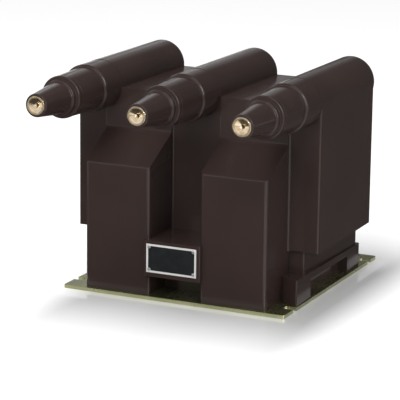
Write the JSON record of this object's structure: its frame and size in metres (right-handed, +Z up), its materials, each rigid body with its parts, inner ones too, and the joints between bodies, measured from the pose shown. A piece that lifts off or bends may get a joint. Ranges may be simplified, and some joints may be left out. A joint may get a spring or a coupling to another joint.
{
  "type": "voltage transformer",
  "caption": "Three-phase voltage transformer: dark cast resin block on two pillars, with tubes that end in cone bushings with brass contacts, on a slotted steel base plate.",
  "frame": {"origin": "middle of the base plate's underside", "axes": "+X to the right seen from the front, +Y to the back (the bushings point along -Y), +Z up"},
  "size_m": [0.37, 0.4605, 0.316],
  "materials": {
    "resin": "dark brown cast epoxy resin, very glossy",
    "zinc_plate": "steel with yellow passivated zinc",
    "brass": "turned brass",
    "copper": "enamelled copper wire",
    "core_steel": "stacked silicon steel sheet",
    "ceramic": "glazed ceramic fuse tube with metal caps",
    "rubber": "black seal rubber",
    "bright_steel": "zinc-plated steel",
    "nameplate": "aluminium with a dark bare field"
  },
  "bodies": {
    "root": {"base_plate": "zinc_plate", "resin_body": "resin", "coil_block_left": "resin", "coil_block_right": "resin", "bushing_a": "resin", "bushing_b": "resin", "bushing_c": "resin", "bushing_seal_a": "rubber", "bushing_seal_b": "rubber", "bushing_seal_c": "rubber", "contact_a": "brass", "contact_b": "brass", "contact_c": "brass", "fuse_a": "ceramic", "fuse_b": "ceramic", "fuse_c": "ceramic", "fuse_cup_a": "brass", "fuse_cup_b": "brass", "fuse_cup_c": "brass", "hv_lead_a": "copper", "hv_lead_b": "copper", "hv_lead_c": "copper", "core_left": "core_steel", "core_right": "core_steel", "primary_winding_left": "copper", "primary_winding_right": "copper", "secondary_winding_left": "copper", "secondary_winding_right": "copper", "secondary_leads": "copper", "terminal_inserts": "brass", "terminal_washers": "bright_steel", "terminal_screws": "bright_steel", "plate_inserts": "bright_steel", "plate_screws": "bright_steel", "nameplate": "nameplate", "nameplate_screws": "bright_steel", "earth_stud": "bright_steel", "earth_washer": "bright_steel", "earth_nut": "bright_steel"}
  },
  "joints": []
}
